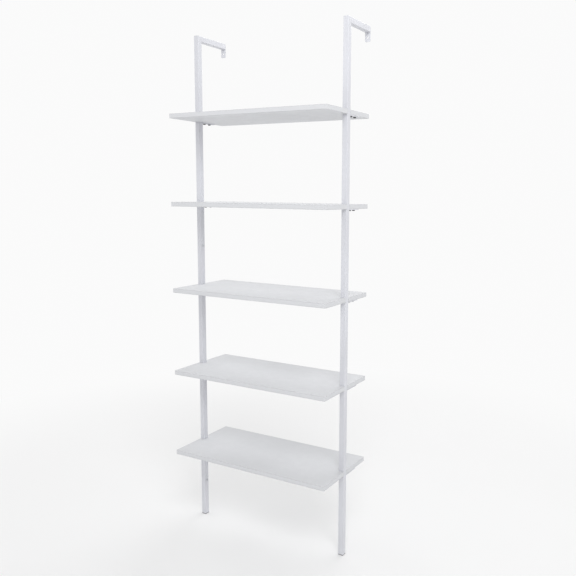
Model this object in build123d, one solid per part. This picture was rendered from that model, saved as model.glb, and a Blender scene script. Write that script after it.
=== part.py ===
from build123d import *
import os

# Wall-fixed ladder shelf: two square-tube uprights with top arms that run back to the
# wall, and five laminated boards that are notched round the uprights and screwed to
# steel tabs from below.
#
# Frame: X to the right, Y towards the wall, Z up, millimetres.
# The origin is on the floor, in the middle of the overall width and depth.

# ---- driving dimensions ----
width = 610.0            # board length = overall width, outer face to outer face
shelf_depth = 280.0      # board depth, front to back
shelf_t = 15.0           # board thickness
shelf_tops = (296.0, 588.0, 880.0, 1178.0, 1472.0)   # top faces of the boards above the floor
shelf_count = len(shelf_tops)
total_h = 1750.0         # floor to the top of the arms
wall_gap = 2.0           # from the boards' back edge to the wall plane

tube = 19.0              # square tube, outer size
tube_wall = 1.2
tube_r = 1.8             # outer corner radius of the tube
tube_ri = 0.6            # inner corner radius of the tube

overall_depth = shelf_depth + wall_gap
y_wall = overall_depth / 2              # wall plane
y_front = -overall_depth / 2            # front edge of the boards
y_back = y_front + shelf_depth          # back edge of the boards
y_post = (y_front + y_back) / 2         # centre line of the uprights
x_post = width / 2 - tube / 2           # centre line of the right upright

notch_clear = 0.25       # play between a notch and its upright
edge_break = 0.5         # broken edge all round a board
corner_r = 1.5           # plan radius of a board's corners

foot_flange = 2.2        # thickness of the foot plug's flange
foot_stem = 22.0         # length of the plug inside the tube

joint_low = 150.0        # seam between the leg and the middle section
joint_high = 1037.0      # seam between the middle and top sections
bolt_below_seam = 16.0   # bolt centre under the seam
sleeve_len = 100.0
sleeve_play = 0.1        # each side, inside the tube
sleeve_wall = 1.5
bolt_r = 2.95            # M6
bolt_hole_r = 3.3
bolt_len = 12.0
bolt_head_r = 4.75       # low button head
bolt_head_h = 2.4
nut_af = 10.0
nut_h = 5.0
nut_bore_r = 3.0

tab_len = 65.5           # welded tab, from the back of the upright towards the wall
tab_t = 3.0
tab_w = tube
tab_screw_y = (28.0, 55.0)   # screw centres behind the upright's centre line
screw_r = 1.9
screw_hole_r = 2.3
screw_head_r = 5.0
screw_head_h = 3.4
screw_len = 14.0         # under the head: 3 mm of tab and 11 mm of board

plate_t = 2.0            # wall plate
plate_h = 48.0           # from the top of the arm down
plate_hole_r = 3.25
plate_hole_drop = 35.0   # hole centre under the top of the arm

os.makedirs("parts", exist_ok=True)


def save(shape, name):
    shape.label = name
    export_step(shape, "parts/" + name + ".step")


def tube_section(size, wall, r_out, r_in):
    return RectangleRounded(size, size, r_out) - RectangleRounded(size - 2 * wall, size - 2 * wall, r_in)


def upright_tube(x, z0, z1):
    return extrude(Pos(x, y_post, z0) * tube_section(tube, tube_wall, tube_r, tube_ri), z1 - z0)


def prism_along_x(points, x0, x1):
    # points are (y, z)
    return extrude(Plane.YZ.offset(x0) * Polygon(*points, align=None), amount=x1 - x0, dir=(1, 0, 0))


def cyl_x(x0, x1, y, z, r):
    # cylinder along X between x0 and x1
    lo, hi = min(x0, x1), max(x0, x1)
    return Pos((lo + hi) / 2, y, z) * Rot(0, 90, 0) * Cylinder(r, hi - lo)


def break_end(part, z):
    # fine chamfer on the outer edge of a tube's cut end, which leaves a thin V at the seam
    face = [f for f in part.faces() if abs(f.center().Z - z) < 1e-4 and abs(f.normal_at().Z) > 0.99][0]
    return chamfer(face.outer_wire().edges(), 0.3)


# ---- uprights, in three sections each ----
mitre = total_h + y_post - tube / 2     # y + z on the mitre plane of the top corner
arm_end = y_wall - plate_t

for side, s in (("left", -1), ("right", 1)):
    x = s * x_post
    x_in = x - s * tube / 2             # inner face, towards the other upright

    # bolt holes through the inner wall only
    hole_low = cyl_x(x_in + s * 3, x_in - s * 3, y_post, joint_low - bolt_below_seam, bolt_hole_r)
    hole_high = cyl_x(x_in + s * 3, x_in - s * 3, y_post, joint_high - bolt_below_seam, bolt_hole_r)

    leg = upright_tube(x, foot_flange, joint_low)
    leg = break_end(leg, joint_low)
    save(leg - hole_low, side + "_leg_tube")

    middle = upright_tube(x, joint_low, joint_high)
    middle = break_end(middle, joint_low)
    middle = break_end(middle, joint_high)
    save(middle - hole_high, side + "_middle_tube")

    top = upright_tube(x, joint_high, total_h + 1)
    top = break_end(top, joint_high)
    keep_post = prism_along_x([(y_post - 20, joint_high - 1), (y_post + 20, joint_high - 1),
                               (y_post + 20, mitre - y_post - 20), (y_post - 20, mitre - y_post + 20)],
                              x - 12, x + 12)
    save(top & keep_post, side + "_top_tube")

    # ---- top arm, mitred to the upright and running back to the wall plate ----
    arm_plane = Plane(origin=(x, y_post - tube / 2 - 1, total_h - tube / 2), x_dir=(1, 0, 0), z_dir=(0, 1, 0))
    arm = extrude(arm_plane * tube_section(tube, tube_wall, tube_r, tube_ri),
                  arm_end - (y_post - tube / 2 - 1))
    keep_arm = prism_along_x([(y_post - 20, mitre - y_post + 20), (y_post - 20, total_h + 30),
                              (arm_end + 1, total_h + 30), (arm_end + 1, total_h - 30),
                              (mitre - total_h + 30, total_h - 30)],
                             x - 12, x + 12)
    save(arm & keep_arm, side + "_top_arm")

    # ---- wall plate: closes the arm's end and hangs below it, with one screw hole ----
    plate_plane = Plane(origin=(x, arm_end, total_h - plate_h / 2), x_dir=(1, 0, 0), z_dir=(0, 1, 0))
    plate = extrude(plate_plane * RectangleRounded(tube, plate_h, tube_r), plate_t)
    plate -= Pos(x, arm_end + plate_t / 2, total_h - plate_hole_drop) * Rot(90, 0, 0) * Cylinder(plate_hole_r, plate_t * 3)
    save(plate, side + "_wall_plate")

    # ---- sleeves inside the tubes at the two seams, fixed in the section above ----
    for name, seam in (("lower", joint_low), ("upper", joint_high)):
        size = tube - 2 * tube_wall - 2 * sleeve_play
        sleeve = extrude(Pos(x, y_post, seam - sleeve_len / 2) * tube_section(size, sleeve_wall, 1.2, 0.5), sleeve_len)
        sleeve -= cyl_x(x_in + s * 4, x_in, y_post, seam - bolt_below_seam, bolt_hole_r)
        save(sleeve, side + "_" + name + "_sleeve")

    # ---- foot plug: square flange under the tube, ribbed stem inside it ----
    flange = extrude(Pos(x, y_post, 0) * RectangleRounded(tube, tube, tube_r), foot_flange)
    flange = chamfer(flange.faces().sort_by(Axis.Z)[0].outer_wire().edges(), 0.5)
    inner = tube - 2 * tube_wall
    stem = extrude(Pos(x, y_post, foot_flange) * (RectangleRounded(14.6, 14.6, 1.0) - RectangleRounded(10.6, 10.6, 0.6)), foot_stem)
    for k in range(3):
        rib = RectangleRounded(inner - 0.1, inner - 0.1, 0.7) - RectangleRounded(11.0, 11.0, 0.6)
        stem += extrude(Pos(x, y_post, foot_flange + 4 + 5.5 * k) * rib, 1.2)
    save(flange + stem, side + "_foot_plug")

# ---- boards, their tabs and screws ----
screws = []
for i in range(shelf_count):
    z_top = shelf_tops[i]
    z_under = z_top - shelf_t
    board = extrude(Pos(0, (y_front + y_back) / 2, z_under) * RectangleRounded(width, shelf_depth, corner_r), shelf_t)
    for s in (-1, 1):
        n = tube + notch_clear
        board -= Pos(s * (width / 2 - n / 2 + 1), y_post, z_under + shelf_t / 2) * Box(n + 2, tube + 2 * notch_clear, shelf_t * 2)
    outline = board.faces().sort_by(Axis.Z)[-1].outer_wire().edges() + board.faces().sort_by(Axis.Z)[0].outer_wire().edges()
    board = chamfer(outline, edge_break)
    for side, s in (("left", -1), ("right", 1)):
        x = s * x_post
        y0 = y_post + tube / 2
        tab = extrude(Pos(x, y0 + tab_len / 2, z_under - tab_t) * Rectangle(tab_w, tab_len), tab_t)
        tab = fillet(tab.edges().filter_by(Axis.Z).sort_by(Axis.Y)[-2:], 3.0)
        for dy in tab_screw_y:
            y = y_post + dy
            tab -= Pos(x, y, z_under - tab_t / 2) * Cylinder(screw_hole_r, tab_t * 3)
            board -= Pos(x, y, z_under + (screw_len - tab_t) / 2 + 0.1) * Cylinder(screw_r + 0.03, screw_len - tab_t + 0.4)
            z_seat = z_under - tab_t
            head = Pos(x, y, z_seat - screw_head_h / 2) * Cylinder(screw_head_r, screw_head_h)
            head = fillet(head.edges().sort_by(Axis.Z)[0], 2.2)
            for a in (0, 90):
                head -= Pos(x, y, z_seat - screw_head_h) * Rot(0, 0, a) * Box(5.2, 1.1, 3.2)
            shank = Pos(x, y, z_seat + (screw_len - 3) / 2) * Cylinder(screw_r, screw_len - 3)
            tip = Pos(x, y, z_seat + screw_len - 1.5) * Cone(screw_r, 0.4, 3.0)
            screws.append(head + shank + tip)
        save(tab, "%s_tab_%d" % (side, i + 1))
    save(board, "shelf_%d" % (i + 1))
save(Compound(children=[s if isinstance(s, Solid) else s.solids()[0] for s in screws]), "shelf_screws")

# ---- joint bolts and the nuts welded in the sleeves ----
bolts, nuts = [], []
for s in (-1, 1):
    x_in = s * (width / 2 - tube)       # inner face of the upright
    for seam in (joint_low, joint_high):
        z = seam - bolt_below_seam
        head = cyl_x(x_in, x_in - s * bolt_head_h, y_post, z, bolt_head_r)
        outer = head.edges().filter_by(GeomType.CIRCLE).sort_by(Axis.X)
        head = fillet(outer[-1] if s < 0 else outer[0], 1.7)
        socket_plane = Plane(origin=(x_in - s * bolt_head_h, y_post, z), x_dir=(0, 1, 0), z_dir=(s, 0, 0))
        head -= extrude(socket_plane * RegularPolygon(2.0, 6, major_radius=False), 1.6)
        shank = cyl_x(x_in, x_in + s * bolt_len, y_post, z, bolt_r)
        bolt = head + shank
        bolts.append(bolt.solids()[0])
        nut_face = x_in + s * (tube_wall + sleeve_play + sleeve_wall)
        nut_plane = Plane(origin=(nut_face, y_post, z), x_dir=(0, 1, 0), z_dir=(s, 0, 0))
        nut = extrude(nut_plane * (RegularPolygon(nut_af / 2, 6, major_radius=False) - Circle(nut_bore_r)), nut_h)
        nuts.append(nut.solids()[0])
save(Compound(children=bolts), "joint_bolts")
save(Compound(children=nuts), "sleeve_nuts")
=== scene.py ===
import bpy, bmesh, math
from mathutils import Vector, Matrix


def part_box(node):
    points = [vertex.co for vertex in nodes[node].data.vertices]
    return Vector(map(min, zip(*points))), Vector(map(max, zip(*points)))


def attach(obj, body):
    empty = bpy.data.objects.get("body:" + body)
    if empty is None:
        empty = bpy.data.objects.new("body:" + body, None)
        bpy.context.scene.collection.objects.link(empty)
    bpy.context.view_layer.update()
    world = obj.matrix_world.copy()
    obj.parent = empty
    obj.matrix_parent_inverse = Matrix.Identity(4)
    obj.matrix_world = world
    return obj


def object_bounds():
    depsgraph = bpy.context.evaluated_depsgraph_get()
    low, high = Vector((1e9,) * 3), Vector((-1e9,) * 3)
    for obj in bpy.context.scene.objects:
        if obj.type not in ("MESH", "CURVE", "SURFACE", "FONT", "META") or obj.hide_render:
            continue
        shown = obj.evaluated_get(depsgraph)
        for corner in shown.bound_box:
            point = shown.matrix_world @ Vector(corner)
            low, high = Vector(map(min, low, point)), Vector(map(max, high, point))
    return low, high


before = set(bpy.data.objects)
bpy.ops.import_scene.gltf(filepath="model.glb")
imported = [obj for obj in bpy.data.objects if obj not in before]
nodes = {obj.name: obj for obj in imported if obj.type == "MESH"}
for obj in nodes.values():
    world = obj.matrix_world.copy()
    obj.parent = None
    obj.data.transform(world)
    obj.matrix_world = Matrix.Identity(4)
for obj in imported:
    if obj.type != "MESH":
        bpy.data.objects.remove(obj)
cad_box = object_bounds()

# ---------------------------------------------------------------- helpers for node materials


def new_material(name):
    m = bpy.data.materials.new(name)
    m.use_nodes = True
    t = m.node_tree
    t.nodes.clear()
    out = t.nodes.new("ShaderNodeOutputMaterial")
    b = t.nodes.new("ShaderNodeBsdfPrincipled")
    t.links.new(b.outputs["BSDF"], out.inputs["Surface"])
    return m, t, b


def coords(t):
    return t.nodes.new("ShaderNodeTexCoord").outputs["Object"]


def mapping(t, vec, scale=(1, 1, 1), rot=(0, 0, 0), loc=(0, 0, 0)):
    n = t.nodes.new("ShaderNodeMapping")
    n.inputs["Scale"].default_value = scale
    n.inputs["Rotation"].default_value = rot
    n.inputs["Location"].default_value = loc
    t.links.new(vec, n.inputs["Vector"])
    return n.outputs["Vector"]


def noise(t, vec, scale, detail=2.0, rough=0.5, distortion=0.0):
    n = t.nodes.new("ShaderNodeTexNoise")
    n.inputs["Scale"].default_value = scale
    n.inputs["Detail"].default_value = detail
    n.inputs["Roughness"].default_value = rough
    n.inputs["Distortion"].default_value = distortion
    t.links.new(vec, n.inputs["Vector"])
    return n.outputs["Fac"]


def math_node(t, op, a, b=None, c=None, clamp=False):
    n = t.nodes.new("ShaderNodeMath")
    n.operation = op
    n.use_clamp = clamp
    for i, v in enumerate((a, b, c)):
        if v is None:
            continue
        if isinstance(v, (int, float)):
            n.inputs[i].default_value = v
        else:
            t.links.new(v, n.inputs[i])
    return n.outputs[0]


def remap(t, v, a0, a1, b0, b1, smooth=False):
    n = t.nodes.new("ShaderNodeMapRange")
    n.interpolation_type = "SMOOTHSTEP" if smooth else "LINEAR"
    n.inputs["From Min"].default_value = a0
    n.inputs["From Max"].default_value = a1
    n.inputs["To Min"].default_value = b0
    n.inputs["To Max"].default_value = b1
    t.links.new(v, n.inputs["Value"])
    return n.outputs["Result"]


def mix(t, fac, a, b):
    n = t.nodes.new("ShaderNodeMix")
    n.data_type = "RGBA"
    if isinstance(fac, (int, float)):
        n.inputs["Factor"].default_value = fac
    else:
        t.links.new(fac, n.inputs["Factor"])
    for sock, v in ((n.inputs[6], a), (n.inputs[7], b)):
        if isinstance(v, tuple):
            sock.default_value = v if len(v) == 4 else (*v, 1)
        else:
            t.links.new(v, sock)
    return n.outputs[2]


def bump(t, height, distance, strength=1.0, normal=None):
    n = t.nodes.new("ShaderNodeBump")
    n.inputs["Strength"].default_value = strength
    n.inputs["Distance"].default_value = distance
    t.links.new(height, n.inputs["Height"])
    if normal is not None:
        t.links.new(normal, n.inputs["Normal"])
    return n.outputs["Normal"]


def edge_mask(t, radius=0.0008, samples=6):
    # 1 on convex and concave edges, 0 on the flats, from the rounded normal
    bev = t.nodes.new("ShaderNodeBevel")
    bev.samples = samples
    bev.inputs["Radius"].default_value = radius
    geo = t.nodes.new("ShaderNodeNewGeometry")
    dot = t.nodes.new("ShaderNodeVectorMath")
    dot.operation = "DOT_PRODUCT"
    t.links.new(bev.outputs["Normal"], dot.inputs[0])
    t.links.new(geo.outputs["True Normal"], dot.inputs[1])
    return remap(t, dot.outputs["Value"], 1.0, 0.80, 0.0, 1.0, smooth=True), bev.outputs["Normal"]


# ---------------------------------------------------------------- materials
# white powder coat on steel tube: orange peel, cloudy film build, thinner film on the edges
def powder_coat(name, base, rough0=0.34, rough1=0.46, along=(1, 1, 0.02)):
    m, t, b = new_material(name)
    co = coords(t)
    cloud = noise(t, mapping(t, co, (1, 1, 0.35)), 9.0, 3.0, 0.55)
    speck = noise(t, co, 1400.0, 2.0, 0.6)
    peel = noise(t, co, 620.0, 1.5, 0.45, 0.3)
    fine = noise(t, co, 2600.0, 1.0, 0.5)
    mask, soft = edge_mask(t, 0.0009)
    c0 = tuple(x * 0.955 for x in base)
    c1 = tuple(min(1.0, x * 1.03) for x in base)
    col = mix(t, remap(t, cloud, 0.35, 0.65, 0, 1, True), c0, c1)
    # the tube's drawing lines show through the film as long faint bands
    band = noise(t, mapping(t, co, along), 150.0, 3.0, 0.6)
    col = mix(t, remap(t, band, 0.42, 0.70, 0.0, 0.35, True), col, tuple(x * 0.93 for x in base))
    col = mix(t, remap(t, speck, 0.62, 0.78, 0, 0.10), col, tuple(x * 0.80 for x in base))
    worn = noise(t, mapping(t, co, (1, 1, 0.25)), 240.0, 4.0, 0.65)
    wear = math_node(t, "MULTIPLY", mask, remap(t, worn, 0.45, 0.72, 0.10, 0.75))
    col = mix(t, math_node(t, "MULTIPLY", wear, 0.40), col, tuple(min(1.0, x * 1.18) for x in base))
    t.links.new(col, b.inputs["Base Color"])
    t.links.new(remap(t, math_node(t, "ADD", math_node(t, "MULTIPLY", peel, 0.6), math_node(t, "MULTIPLY", cloud, 0.4)),
                      0.3, 0.7, rough0, rough1), b.inputs["Roughness"])
    h = math_node(t, "ADD", peel, math_node(t, "MULTIPLY", fine, 0.25))
    t.links.new(bump(t, h, 0.00020, 0.75, soft), b.inputs["Normal"])
    b.inputs["IOR"].default_value = 1.5
    b.inputs["Coat Weight"].default_value = 0.12
    b.inputs["Coat Roughness"].default_value = 0.25
    return m


# white melamine laminate: pearl texture on the faces, a glued band on the edges with a fine seam line; the band's
# colour is darker than the faces, partly the band's own tone and partly painted shade on the vertical faces
def melamine(name, base, band):
    m, t, b = new_material(name)
    co = coords(t)
    sep = t.nodes.new("ShaderNodeSeparateXYZ")
    t.links.new(co, sep.inputs[0])
    geo = t.nodes.new("ShaderNodeNewGeometry")
    nsep = t.nodes.new("ShaderNodeSeparateXYZ")
    t.links.new(geo.outputs["True Normal"], nsep.inputs[0])
    nz = math_node(t, "ABSOLUTE", nsep.outputs["Z"])
    side = remap(t, nz, 0.45, 0.20, 0.0, 1.0)               # 1 on the edge band
    # distance from the nearest board's mid-height, then depth under its nearer face
    mid = None
    for z in SHELF_UNDER:
        d = math_node(t, "ABSOLUTE", math_node(t, "SUBTRACT", sep.outputs["Z"], z + SHELF_T / 2))
        mid = d if mid is None else math_node(t, "MINIMUM", mid, d)
    from_face = math_node(t, "SUBTRACT", SHELF_T / 2, mid)
    seam = remap(t, math_node(t, "ABSOLUTE", math_node(t, "SUBTRACT", from_face, 0.0008)), 0.00010, 0.00028, 1.0, 0.0)
    seam = math_node(t, "MULTIPLY", seam, side)
    cloud = noise(t, co, 4.0, 3.0, 0.5)
    mottle = noise(t, co, 34.0, 4.0, 0.6)
    speck = noise(t, co, 950.0, 2.0, 0.7)
    pearl = noise(t, co, 1500.0, 2.0, 0.55)
    pearl2 = noise(t, co, 420.0, 2.0, 0.5)
    # faint rubbed streaks where things are slid across the top
    streak = noise(t, mapping(t, co, (1.0, 12.0, 1.0), (0, 0, 0.35)), 22.0, 5.0, 0.7, 0.4)
    streak = remap(t, streak, 0.60, 0.78, 0.0, 1.0, True)
    c = mix(t, remap(t, cloud, 0.3, 0.7, 0, 1, True), tuple(x * 0.965 for x in base), tuple(min(1, x * 1.02) for x in base))
    c = mix(t, remap(t, mottle, 0.4, 0.75, 0.0, 0.40), c, tuple(x * 0.94 for x in base))
    c = mix(t, remap(t, speck, 0.60, 0.75, 0.0, 0.16), c, tuple(x * 0.80 for x in base))
    # painted shade: the vertical edge faces are mixed towards the darker band colour, which stands partly for the edge
    # band's own tone and partly for the shade these faces get under the overhead light
    c = mix(t, math_node(t, "MULTIPLY", side, 0.85), c, band)
    band_streak = noise(t, mapping(t, co, (6.0, 6.0, 260.0)), 3.0, 3.0, 0.6)
    c = mix(t, math_node(t, "MULTIPLY", side, remap(t, band_streak, 0.35, 0.75, 0.0, 0.30)), c, tuple(x * 0.93 for x in band))
    c = mix(t, math_node(t, "MULTIPLY", seam, 0.55), c, tuple(x * 0.55 for x in band))
    mask, soft = edge_mask(t, 0.0008)
    rub = noise(t, co, 160.0, 4.0, 0.65)
    c = mix(t, math_node(t, "MULTIPLY", mask, remap(t, rub, 0.42, 0.74, 0.05, 0.35)), c, tuple(min(1, x * 1.13) for x in base))
    t.links.new(c, b.inputs["Base Color"])
    r = remap(t, mottle, 0.3, 0.7, 0.46, 0.57)
    r = math_node(t, "SUBTRACT", r, math_node(t, "MULTIPLY", streak, 0.05))
    r = math_node(t, "ADD", r, math_node(t, "MULTIPLY", side, 0.04))
    t.links.new(r, b.inputs["Roughness"])
    h = math_node(t, "ADD", math_node(t, "MULTIPLY", pearl, 0.6), math_node(t, "MULTIPLY", pearl2, 0.7))
    h = math_node(t, "SUBTRACT", h, math_node(t, "MULTIPLY", seam, 1.6))
    t.links.new(bump(t, h, 0.00013, 0.75, soft), b.inputs["Normal"])
    b.inputs["IOR"].default_value = 1.48
    return m


def black_fastener(name):
    m, t, b = new_material(name)
    co = coords(t)
    grime = noise(t, co, 700.0, 3.0, 0.6)
    fine = noise(t, co, 5200.0, 2.0, 0.5)
    mask, soft = edge_mask(t, 0.0004)
    c = mix(t, remap(t, grime, 0.35, 0.7, 0, 1), (0.098, 0.098, 0.103), (0.148, 0.147, 0.149))
    c = mix(t, math_node(t, "MULTIPLY", mask, remap(t, grime, 0.4, 0.65, 0.15, 0.7)), c, (0.19, 0.185, 0.18))
    t.links.new(c, b.inputs["Base Color"])
    b.inputs["Metallic"].default_value = 0.65
    t.links.new(remap(t, grime, 0.3, 0.7, 0.30, 0.50), b.inputs["Roughness"])
    t.links.new(bump(t, fine, 0.00003, 0.5, soft), b.inputs["Normal"])
    return m


def zinc(name):
    m, t, b = new_material(name)
    co = coords(t)
    spangle = t.nodes.new("ShaderNodeTexVoronoi")
    spangle.inputs["Scale"].default_value = 420.0
    t.links.new(co, spangle.inputs["Vector"])
    brushed = noise(t, mapping(t, co, (1, 1, 0.04)), 1800.0, 3.0, 0.6)
    c = mix(t, spangle.outputs["Distance"], (0.56, 0.57, 0.60), (0.68, 0.69, 0.71))
    c = mix(t, remap(t, brushed, 0.4, 0.7, 0, 0.3), c, (0.45, 0.46, 0.48))
    t.links.new(c, b.inputs["Base Color"])
    b.inputs["Metallic"].default_value = 1.0
    t.links.new(remap(t, brushed, 0.3, 0.7, 0.26, 0.42), b.inputs["Roughness"])
    t.links.new(bump(t, brushed, 0.00003, 0.4), b.inputs["Normal"])
    return m


def foot_plastic(name):
    m, t, b = new_material(name)
    co = coords(t)
    grain = noise(t, co, 1900.0, 3.0, 0.6)
    scuff = noise(t, mapping(t, co, (1, 1, 5)), 160.0, 5.0, 0.7)
    sep = t.nodes.new("ShaderNodeSeparateXYZ")
    t.links.new(co, sep.inputs[0])
    low = remap(t, sep.outputs["Z"], 0.0028, 0.0, 0.0, 1.0, True)
    mask, soft = edge_mask(t, 0.0006)
    c = mix(t, remap(t, grain, 0.35, 0.7, 0, 1), (0.052, 0.052, 0.056), (0.078, 0.078, 0.083))
    c = mix(t, math_node(t, "MULTIPLY", low, remap(t, scuff, 0.45, 0.7, 0.0, 0.6)), c, (0.20, 0.19, 0.175))
    c = mix(t, math_node(t, "MULTIPLY", mask, 0.35), c, (0.13, 0.13, 0.135))
    t.links.new(c, b.inputs["Base Color"])
    t.links.new(remap(t, scuff, 0.3, 0.7, 0.48, 0.66), b.inputs["Roughness"])
    t.links.new(bump(t, grain, 0.00006, 0.6, soft), b.inputs["Normal"])
    return m


# ---------------------------------------------------------------- positions, from the CAD frame
N = 5
shelf_box = [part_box("shelf_%d" % (i + 1)) for i in range(N)]
SHELF_UNDER = [b[0].z for b in shelf_box]
SHELF_T = shelf_box[0][1].z - shelf_box[0][0].z

FRAME_BASE = (0.615, 0.622, 0.661)
BOARD_BASE = (0.635, 0.642, 0.66)
# edge band colour, darker than the board faces: partly the band's own tone, partly painted shade on the vertical faces
BAND_BASE_AND_PAINTED_SHADE = (0.607, 0.615, 0.635)

mat_frame = powder_coat("white_powder_coat", FRAME_BASE)
mat_weld = powder_coat("white_powder_coat_weld", tuple(x * 0.985 for x in FRAME_BASE), 0.38, 0.52)
mat_across = powder_coat("white_powder_coat_arm", FRAME_BASE, along=(1, 0.02, 1))
mat_board = melamine("white_melamine", BOARD_BASE, BAND_BASE_AND_PAINTED_SHADE)
mat_screw = black_fastener("black_oxide_steel")
mat_zinc = zinc("zinc_plated_steel")
mat_foot = foot_plastic("dark_grey_plastic")


def paint(obj, mat):
    obj.data.materials.clear()
    obj.data.materials.append(mat)


for name, o in nodes.items():
    if name == "shelf_screws":
        paint(o, mat_screw)
    elif name.startswith("shelf_"):
        paint(o, mat_board)
    elif name in ("joint_bolts", "sleeve_nuts") or name.endswith("_sleeve"):
        paint(o, mat_zinc)
    elif name.endswith("_foot_plug"):
        paint(o, mat_foot)
    elif name.endswith("_top_arm") or "_tab_" in name:
        paint(o, mat_across)
    else:
        paint(o, mat_frame)


# ---------------------------------------------------------------- weld beads
def mesh_object(name, bm, mat, smooth=True):
    me = bpy.data.meshes.new(name)
    bmesh.ops.recalc_face_normals(bm, faces=bm.faces)
    bm.to_mesh(me)
    bm.free()
    if smooth:
        for p in me.polygons:
            p.use_smooth = True
    o = bpy.data.objects.new(name, me)
    bpy.context.scene.collection.objects.link(o)
    me.materials.append(mat)
    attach(o, "root")
    return o


def add_bead(bm, p0, p1, n1, n2, leg, seed=0, segs=None):
    """A fillet weld from p0 to p1 in the corner between two faces, whose outward directions are n1 and n2.
    The ripples of the puddle run along it."""
    p0, p1, n1, n2 = Vector(p0), Vector(p1), Vector(n1), Vector(n2)
    length = (p1 - p0).length
    d = (p1 - p0).normalized()
    segs = segs or max(16, int(length / 0.00045))
    pitch = 0.0014
    ring_n = 7
    rings = []
    for i in range(segs + 1):
        f = i / segs
        s = f * length
        end = min(1.0, min(s, length - s) / (leg * 0.9))
        grow = math.sqrt(max(0.0, 1 - (1 - end) ** 2))
        wob = 1 + 0.07 * math.sin(s / 0.0031 + seed * 1.7) + 0.05 * math.sin(s / 0.0013 + seed * 0.9)
        rip = abs(math.sin(math.pi * s / pitch + seed))
        ell = leg * wob * (0.10 + 0.90 * grow)
        ring = [p0 + d * s]
        for k in range(ring_n):
            a = k / (ring_n - 1)
            ang = a * math.pi / 2
            r = 0.5 + 0.5 * (1 - 0.16 * math.sin(2 * ang)) * (1 - 0.05 * (1 - rip) * math.sin(2 * ang))
            # concave to flat profile between the two toes
            u = math.cos(ang) ** 1.25 * ell * r
            v = math.sin(ang) ** 1.25 * ell * r
            ring.append(p0 + d * s + n1 * u + n2 * v)
        rings.append([bm.verts.new(q) for q in ring])
    m = ring_n + 1
    for i in range(segs):
        a, b = rings[i], rings[i + 1]
        for k in range(m):
            k2 = (k + 1) % m
            bm.faces.new((a[k], a[k2], b[k2], b[k]))
    bm.faces.new(list(reversed(rings[0])))
    bm.faces.new(rings[-1])


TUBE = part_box("left_leg_tube")[1].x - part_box("left_leg_tube")[0].x
for side, s in (("left", -1), ("right", 1)):
    lo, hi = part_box(side + "_middle_tube")
    xa, xb = lo.x + 0.0022, hi.x - 0.0022
    y_back = hi.y
    # under the root of each tab
    bm = bmesh.new()
    for i in range(N):
        tlo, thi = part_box("%s_tab_%d" % (side, i + 1))
        add_bead(bm, (xa, y_back, tlo.z), (xb, y_back, tlo.z), (0, 1, 0), (0, 0, -1), 0.0030, seed=i + 3 * s)
    mesh_object(side + "_tab_welds", bm, mat_weld)
    # inner corner under the mitre, and under the arm at the plate
    alo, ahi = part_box(side + "_top_arm")
    plo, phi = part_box(side + "_wall_plate")
    bm = bmesh.new()
    add_bead(bm, (xa, y_back, alo.z), (xb, y_back, alo.z), (0, 1, 0), (0, 0, -1), 0.0026, seed=11 * s)
    add_bead(bm, (xa, plo.y, alo.z), (xb, plo.y, alo.z), (0, -1, 0), (0, 0, -1), 0.0024, seed=5 * s)
    mesh_object(side + "_arm_welds", bm, mat_weld)

# ---------------------------------------------------------------- stage, light and camera
FLOOR_ALBEDO = 0.86
FADE = (0.7, 2.3)
SURROUND = 0.96
bm = bmesh.new()
bmesh.ops.create_circle(bm, cap_ends=True, radius=30.0, segments=96)
me = bpy.data.meshes.new("floor")
bm.to_mesh(me)
bm.free()
floor = bpy.data.objects.new("floor", me)
floor.location = (0, 0, cad_box[0][2])
bpy.context.scene.collection.objects.link(floor)
mf, t, b = new_material("studio_floor")
# the floor runs out into the white surround, a few metres from the object on every side
fco = coords(t)
fn = noise(t, fco, 1.2, 3.0, 0.5)
flen = t.nodes.new("ShaderNodeVectorMath")
flen.operation = "LENGTH"
t.links.new(fco, flen.inputs[0])
far = remap(t, flen.outputs["Value"], FADE[0], FADE[1], 0.0, 1.0, True)
near = mix(t, remap(t, fn, 0.3, 0.7, 0, 1), (FLOOR_ALBEDO,) * 3, (FLOOR_ALBEDO + 0.012,) * 3)
t.links.new(mix(t, far, near, (0.0, 0.0, 0.0)), b.inputs["Base Color"])
b.inputs["Emission Color"].default_value = (1, 1, 1, 1)
t.links.new(math_node(t, "MULTIPLY", far, SURROUND), b.inputs["Emission Strength"])
b.inputs["Roughness"].default_value = 0.9
b.inputs["Specular IOR Level"].default_value = 0.0
me.materials.append(mf)

world = bpy.data.worlds.new("studio")
bpy.context.scene.world = world
world.use_nodes = True
wt = world.node_tree
bg = wt.nodes["Background"]
bg.inputs["Color"].default_value = (1.0, 1.0, 1.0, 1)
# white all round, dimmer straight overhead, where the two soft boxes take over
wsep = wt.nodes.new("ShaderNodeSeparateXYZ")
wt.links.new(wt.nodes.new("ShaderNodeTexCoord").outputs["Generated"], wsep.inputs[0])
wt.links.new(remap(wt, wsep.outputs["Z"], 0.58, 0.96, SURROUND, 0.40, True), bg.inputs["Strength"])


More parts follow.
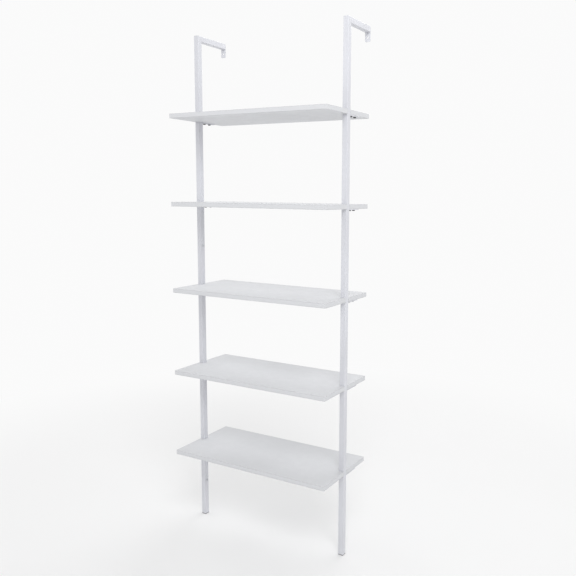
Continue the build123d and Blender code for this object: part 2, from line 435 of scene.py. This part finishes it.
def area(name, loc, target, size, power, color=(1, 1, 1)):
    l = bpy.data.lights.new(name, "AREA")
    l.shape = "RECTANGLE"
    l.size, l.size_y = size
    l.energy = power
    l.color = color
    o = bpy.data.objects.new(name, l)
    o.location = loc
    d = Vector(target) - Vector(loc)
    o.rotation_euler = d.to_track_quat("-Z", "Y").to_euler()
    o.visible_camera = False
    bpy.context.scene.collection.objects.link(o)
    return o


area("key", (1.6, -1.8, 2.8), (0, 0, 1.0), (1.4, 1.4), 35.4)
area("back", (0.0, 2.2, 3.0), (0, 0, 1.0), (1.6, 1.6), 18.0)
area("back_right", (1.2, 1.9, 2.9), (0, 0, 1.0), (1.5, 1.5), 5.0)
area("left", (-1.8, 0.2, 2.6), (0, 0, 1.0), (1.4, 1.4), 8.0)

# camera at the viewing angle of the reference: right of centre, a little above the fourth board
CAM = dict(x=1.2877417, y=-1.8511259, z=1.2112635, yaw=28.4404, pitch=7.2787, roll=0.5987,
           f=659.002, ppx=341.9983, ppy=278.0000)
cam = bpy.data.cameras.new("camera")
cam_o = bpy.data.objects.new("camera", cam)
bpy.context.scene.collection.objects.link(cam_o)
yaw, pitch, roll = (math.radians(CAM[k]) for k in ("yaw", "pitch", "roll"))
fwd = Vector((-math.sin(yaw) * math.cos(pitch), math.cos(yaw) * math.cos(pitch), -math.sin(pitch)))
right = Vector((math.cos(yaw), math.sin(yaw), 0))
up = right.cross(fwd)
r2 = right * math.cos(roll) + up * math.sin(roll)
u2 = -right * math.sin(roll) + up * math.cos(roll)
cam_o.matrix_world = Matrix(((r2.x, u2.x, -fwd.x, CAM["x"]), (r2.y, u2.y, -fwd.y, CAM["y"]),
                             (r2.z, u2.z, -fwd.z, CAM["z"]), (0, 0, 0, 1)))
cam.sensor_fit = "HORIZONTAL"
cam.sensor_width = 36.0
cam.lens = CAM["f"] * 36.0 / 576.0
cam.shift_x = (288.0 - CAM["ppx"]) / 576.0
cam.shift_y = (CAM["ppy"] - 288.0) / 576.0
cam.clip_start = 0.01
cam.clip_end = 100.0
bpy.context.scene.camera = cam_o
bpy.context.scene.view_settings.view_transform = "Standard"
bpy.context.scene.view_settings.look = "None"
